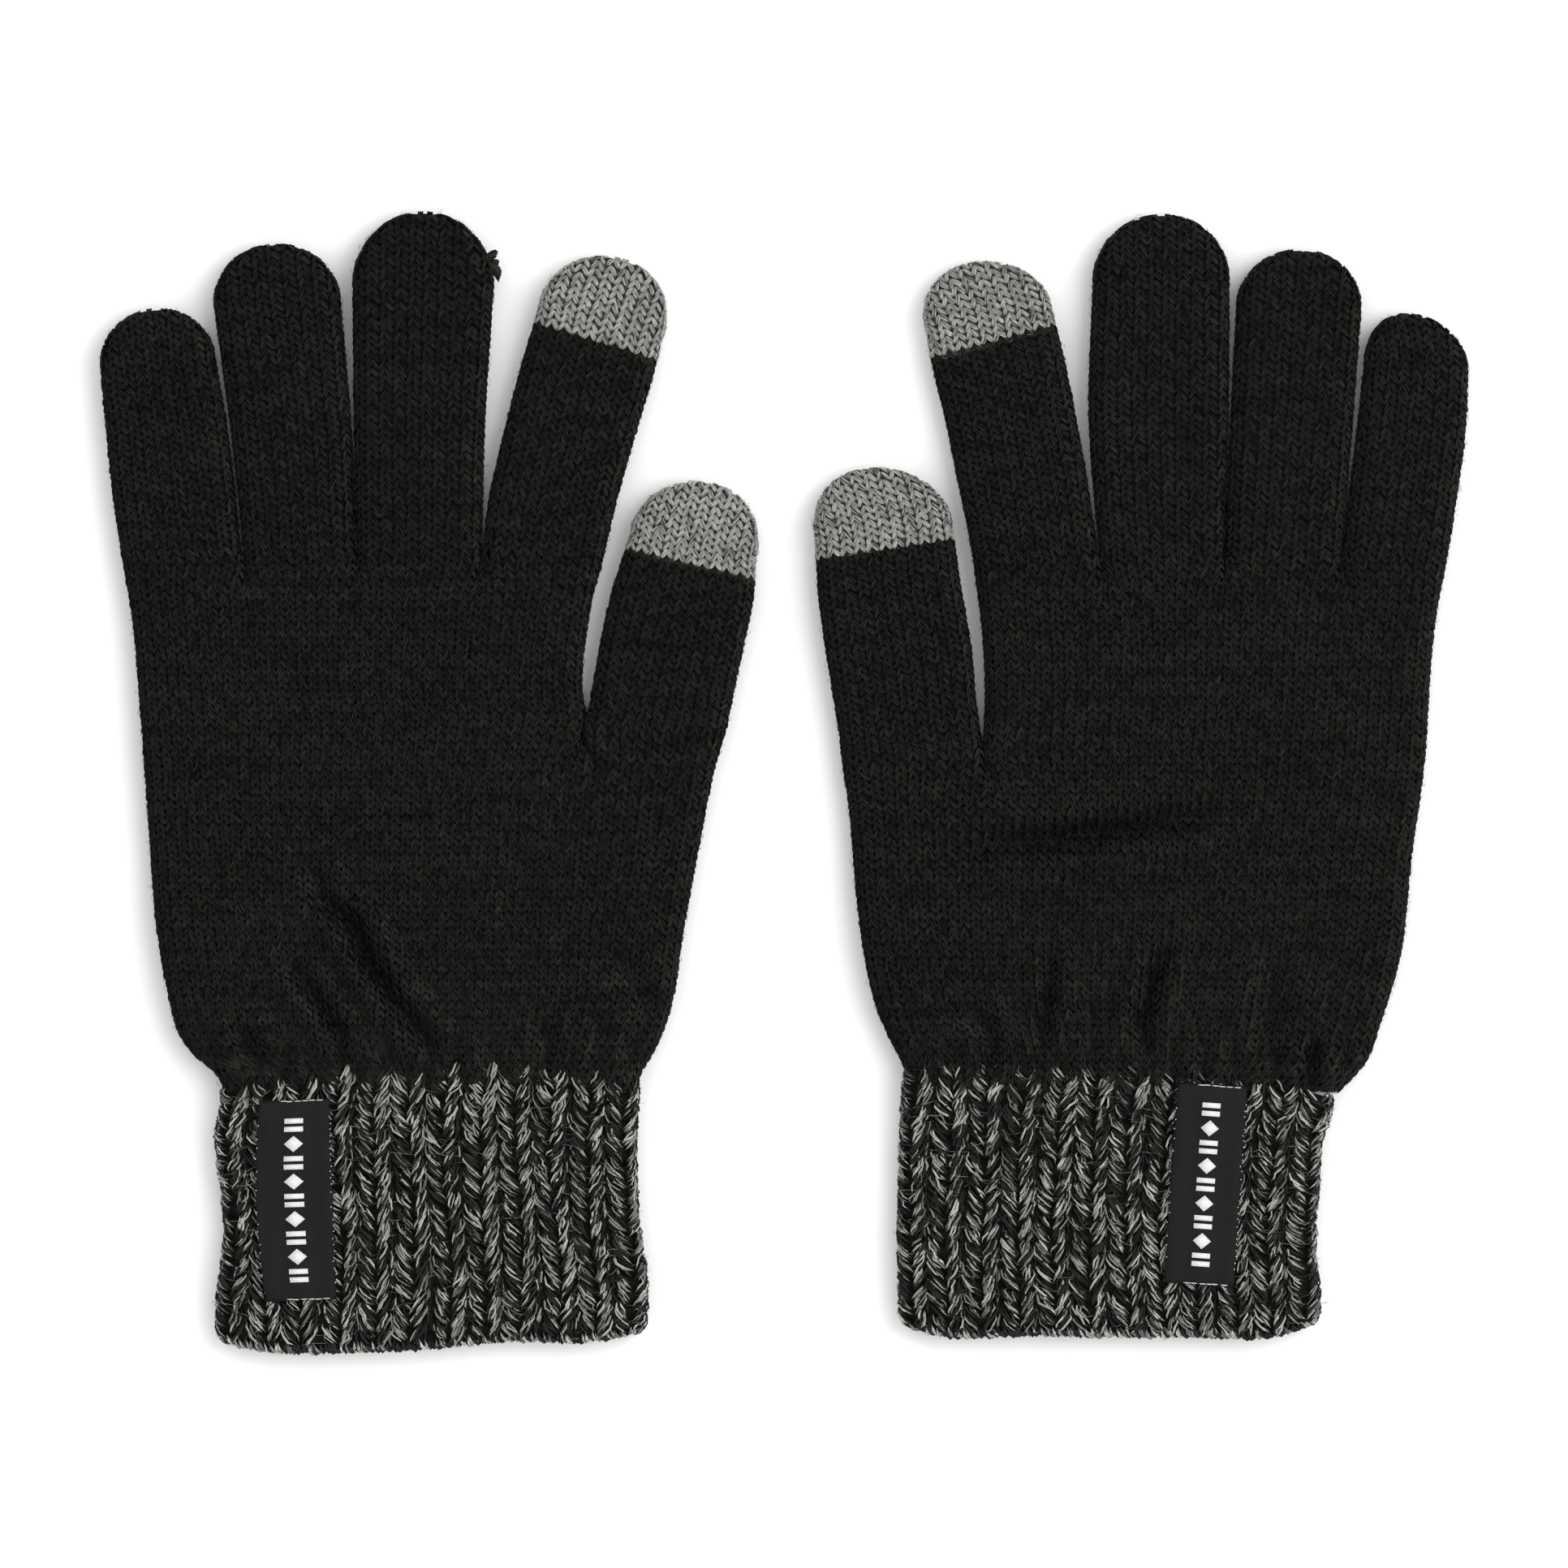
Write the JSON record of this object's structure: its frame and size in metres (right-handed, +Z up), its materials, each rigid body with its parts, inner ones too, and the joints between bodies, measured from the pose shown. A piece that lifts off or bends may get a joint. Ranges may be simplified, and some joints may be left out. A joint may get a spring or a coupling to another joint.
{
  "type": "knitted touchscreen gloves",
  "caption": "Soft knitted gloves with hollow digits, grey conductive index and thumb tips, long marled rib cuffs and a sewn wrist label, laid flat side by side.",
  "frame": {"origin": "middle of the pair's outline at table level", "axes": "+Y towards the fingertips, +X towards the right glove, +Z up from the table; the upper faces are the backs of a left and a right hand"},
  "size_m": [0.298, 0.2498, 0.0104],
  "materials": {
    "black_knit": "matt black plain knit with a fine fuzz",
    "conductive_knit": "matt mid grey plain knit of a conductive yarn",
    "marled_rib": "matt rib knit of a black and a light grey strand worked together",
    "woven_label": "satin black woven ribbon with a pale woven motif",
    "label_thread": "matt off-white sewing thread"
  },
  "bodies": {
    "left_hand": {"left_lower_hand": "black_knit", "left_upper_hand": "black_knit"},
    "left_wrist_cuff": {"left_cuff": "marled_rib", "left_label": "woven_label", "left_label_stitch_top": "label_thread", "left_label_stitch_bottom": "label_thread"},
    "left_little_lower": {"left_little_base": "black_knit"},
    "left_little_end": {"left_little_outer": "black_knit"},
    "left_ring_lower": {"left_ring_base": "black_knit"},
    "left_ring_end": {"left_ring_outer": "black_knit"},
    "left_middle_lower": {"left_middle_base": "black_knit"},
    "left_middle_end": {"left_middle_outer": "black_knit", "left_yarn_end": "black_knit"},
    "left_index_lower": {"left_index_base": "black_knit"},
    "left_index_end": {"left_index_outer": "black_knit", "left_index_tip": "conductive_knit"},
    "left_thumb_lower": {"left_thumb_base": "black_knit"},
    "left_thumb_end": {"left_thumb_outer": "black_knit", "left_thumb_tip": "conductive_knit"},
    "right_hand": {"right_lower_hand": "black_knit", "right_upper_hand": "black_knit"},
    "right_wrist_cuff": {"right_cuff": "marled_rib", "right_label": "woven_label", "right_label_stitch_top": "label_thread", "right_label_stitch_bottom": "label_thread"},
    "right_little_lower": {"right_little_base": "black_knit"},
    "right_little_end": {"right_little_outer": "black_knit"},
    "right_ring_lower": {"right_ring_base": "black_knit"},
    "right_ring_end": {"right_ring_outer": "black_knit"},
    "right_middle_lower": {"right_middle_base": "black_knit"},
    "right_middle_end": {"right_middle_outer": "black_knit"},
    "right_index_lower": {"right_index_base": "black_knit"},
    "right_index_end": {"right_index_outer": "black_knit", "right_index_tip": "conductive_knit"},
    "right_thumb_lower": {"right_thumb_base": "black_knit"},
    "right_thumb_end": {"right_thumb_outer": "black_knit", "right_thumb_tip": "conductive_knit"}
  },
  "joints": [
    {"name": "left_wrist_bend", "type": "hinge", "parent": "left_hand", "child": "left_wrist_cuff", "pos_m": [-0.0772, -0.063, 0.0092], "axis": [-1, 0, 0], "range_deg": [0, 60]},
    {"name": "left_little_knuckle", "type": "hinge", "parent": "left_hand", "child": "left_little_lower", "pos_m": [-0.13175, 0.05015, 0.0092], "axis": [1, 0, 0], "range_deg": [0, 60]},
    {"name": "left_little_fold", "type": "hinge", "parent": "left_little_lower", "child": "left_little_end", "pos_m": [-0.13503, 0.077, 0.0092], "axis": [1, 0, 0], "range_deg": [0, 60]},
    {"name": "left_ring_knuckle", "type": "hinge", "parent": "left_hand", "child": "left_ring_lower", "pos_m": [-0.1063, 0.05015, 0.0092], "axis": [1, 0, 0], "range_deg": [0, 60]},
    {"name": "left_ring_fold", "type": "hinge", "parent": "left_ring_lower", "child": "left_ring_end", "pos_m": [-0.10882, 0.083, 0.0092], "axis": [1, 0, 0], "range_deg": [0, 60]},
    {"name": "left_middle_knuckle", "type": "hinge", "parent": "left_hand", "child": "left_middle_lower", "pos_m": [-0.08015, 0.05015, 0.0092], "axis": [1, 0, 0], "range_deg": [0, 60]},
    {"name": "left_middle_fold", "type": "hinge", "parent": "left_middle_lower", "child": "left_middle_end", "pos_m": [-0.07993, 0.087, 0.0092], "axis": [1, 0, 0], "range_deg": [0, 60]},
    {"name": "left_index_knuckle", "type": "hinge", "parent": "left_hand", "child": "left_index_lower", "pos_m": [-0.05285, 0.05015, 0.0092], "axis": [1, 0, 0], "range_deg": [0, 60]},
    {"name": "left_index_fold", "type": "hinge", "parent": "left_index_lower", "child": "left_index_end", "pos_m": [-0.04649, 0.08, 0.0092], "axis": [1, 0, 0], "range_deg": [0, 60]},
    {"name": "left_thumb_knuckle", "type": "hinge", "parent": "left_hand", "child": "left_thumb_lower", "pos_m": [-0.0292, 0.0095, 0.0092], "axis": [0.8994, -0.4372, 0], "range_deg": [0, 45]},
    {"name": "left_thumb_fold", "type": "hinge", "parent": "left_thumb_lower", "child": "left_thumb_end", "pos_m": [-0.02442, 0.034, 0.0092], "axis": [1, 0, 0], "range_deg": [0, 45]},
    {"name": "right_wrist_bend", "type": "hinge", "parent": "right_hand", "child": "right_wrist_cuff", "pos_m": [0.0721, -0.063, 0.0092], "axis": [-1, 0, 0], "range_deg": [0, 60]},
    {"name": "right_little_knuckle", "type": "hinge", "parent": "right_hand", "child": "right_little_lower", "pos_m": [0.13315, 0.05015, 0.0092], "axis": [1, 0, 0], "range_deg": [0, 60]},
    {"name": "right_little_fold", "type": "hinge", "parent": "right_little_lower", "child": "right_little_end", "pos_m": [0.136, 0.077, 0.0092], "axis": [1, 0, 0], "range_deg": [0, 60]},
    {"name": "right_ring_knuckle", "type": "hinge", "parent": "right_hand", "child": "right_ring_lower", "pos_m": [0.1088, 0.05015, 0.0092], "axis": [1, 0, 0], "range_deg": [0, 60]},
    {"name": "right_ring_fold", "type": "hinge", "parent": "right_ring_lower", "child": "right_ring_end", "pos_m": [0.11057, 0.083, 0.0092], "axis": [1, 0, 0], "range_deg": [0, 60]},
    {"name": "right_middle_knuckle", "type": "hinge", "parent": "right_hand", "child": "right_middle_lower", "pos_m": [0.08195, 0.05015, 0.0092], "axis": [1, 0, 0], "range_deg": [0, 60]},
    {"name": "right_middle_fold", "type": "hinge", "parent": "right_middle_lower", "child": "right_middle_end", "pos_m": [0.08178, 0.087, 0.0092], "axis": [1, 0, 0], "range_deg": [0, 60]},
    {"name": "right_index_knuckle", "type": "hinge", "parent": "right_hand", "child": "right_index_lower", "pos_m": [0.05365, 0.05015, 0.0092], "axis": [1, 0, 0], "range_deg": [0, 60]},
    {"name": "right_index_fold", "type": "hinge", "parent": "right_index_lower", "child": "right_index_end", "pos_m": [0.04917, 0.08, 0.0092], "axis": [1, 0, 0], "range_deg": [0, 60]},
    {"name": "right_thumb_knuckle", "type": "hinge", "parent": "right_hand", "child": "right_thumb_lower", "pos_m": [0.02825, 0.0095, 0.0092], "axis": [0.9023, 0.4311, 0], "range_deg": [0, 45]},
    {"name": "right_thumb_fold", "type": "hinge", "parent": "right_thumb_lower", "child": "right_thumb_end", "pos_m": [0.02396, 0.036, 0.0092], "axis": [1, 0, 0], "range_deg": [0, 45]},
    {"name": "right_glove_lift", "type": "slide", "parent": "left_hand", "child": "right_hand", "axis": [0, 0, 1], "range_m": [0, 0.1]}
  ],
  "couplings": [
    {"joint": "left_little_fold", "follows": "left_little_knuckle", "ratio": 1},
    {"joint": "left_ring_fold", "follows": "left_ring_knuckle", "ratio": 1},
    {"joint": "left_middle_fold", "follows": "left_middle_knuckle", "ratio": 1},
    {"joint": "left_index_fold", "follows": "left_index_knuckle", "ratio": 1},
    {"joint": "left_thumb_fold", "follows": "left_thumb_knuckle", "ratio": 1},
    {"joint": "right_little_fold", "follows": "right_little_knuckle", "ratio": 1},
    {"joint": "right_ring_fold", "follows": "right_ring_knuckle", "ratio": 1},
    {"joint": "right_middle_fold", "follows": "right_middle_knuckle", "ratio": 1},
    {"joint": "right_index_fold", "follows": "right_index_knuckle", "ratio": 1},
    {"joint": "right_thumb_fold", "follows": "right_thumb_knuckle", "ratio": 1}
  ]
}
